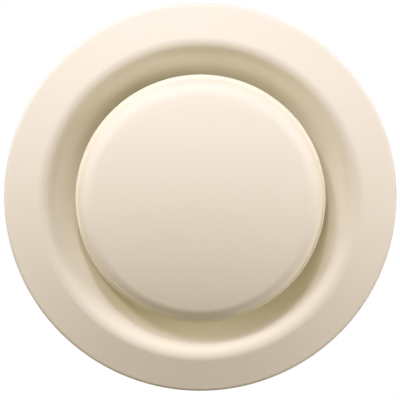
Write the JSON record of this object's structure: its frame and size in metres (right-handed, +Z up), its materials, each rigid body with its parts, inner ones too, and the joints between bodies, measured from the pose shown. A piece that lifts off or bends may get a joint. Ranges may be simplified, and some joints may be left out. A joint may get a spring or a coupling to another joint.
{
  "type": "ventilation disc valve",
  "caption": "Round wall valve for a duct: a domed disc on a screw spindle opens and closes a ring-shaped air gap in a pressed steel nozzle.",
  "frame": {"origin": "on the valve's axis, in the plane of the wall that the collar's flange lies on", "axes": "+Y along the valve's axis into the duct, so the disc faces -Y, the room; +Z up the wall; +X to the right as seen from the room"},
  "size_m": [0.164, 0.0683, 0.164],
  "materials": {
    "cream_steel": "satin powder coat",
    "galvanised_sheet": "galvanised",
    "zinc_plate": "bright zinc plate",
    "spring_steel": "blued spring steel",
    "foam": "closed-cell foam",
    "rubber": "moulded rubber"
  },
  "bodies": {
    "frame": {"valve_body": "cream_steel", "foam_gasket": "foam", "mounting_collar": "galvanised_sheet", "duct_seal": "rubber", "bridge": "zinc_plate", "bridge_bush": "zinc_plate", "bridge_rivet_1": "zinc_plate", "bridge_rivet_2": "zinc_plate", "spring_clip_1": "spring_steel", "spring_clip_2": "spring_steel", "spring_clip_3": "spring_steel", "clip_rivet_1": "zinc_plate", "clip_rivet_2": "zinc_plate", "clip_rivet_3": "zinc_plate"},
    "stop_clip": {"stop_clip": "spring_steel"},
    "disc": {"disc": "cream_steel", "hub_cup": "zinc_plate", "spindle": "zinc_plate", "hub_washer": "zinc_plate", "hub_nut": "zinc_plate"},
    "lock_washer": {"lock_washer": "zinc_plate"},
    "lock_nut": {"lock_nut": "zinc_plate"}
  },
  "joints": [
    {"name": "disc_travel", "type": "slide", "parent": "frame", "child": "stop_clip", "axis": [0, -1, 0], "range_m": [-0.00561, 0.01001]},
    {"name": "disc_turn", "type": "hinge", "parent": "stop_clip", "child": "disc", "pos_m": [0, 0, 0], "axis": [0, -1, 0], "range_deg": [-1612.8, 2880]},
    {"name": "lock_nut_travel", "type": "slide", "parent": "frame", "child": "lock_washer", "axis": [0, 1, 0], "range_m": [0, 0.00376]},
    {"name": "lock_nut_turn", "type": "hinge", "parent": "lock_washer", "child": "lock_nut", "pos_m": [0, 0.0222, 0], "axis": [0, 1, 0], "range_deg": [0, 1080]}
  ],
  "couplings": [
    {"joint": "disc_travel", "follows": "disc_turn", "m_per_rad": 0.00019894},
    {"joint": "lock_nut_travel", "follows": "lock_nut_turn", "m_per_rad": 0.00019894}
  ]
}
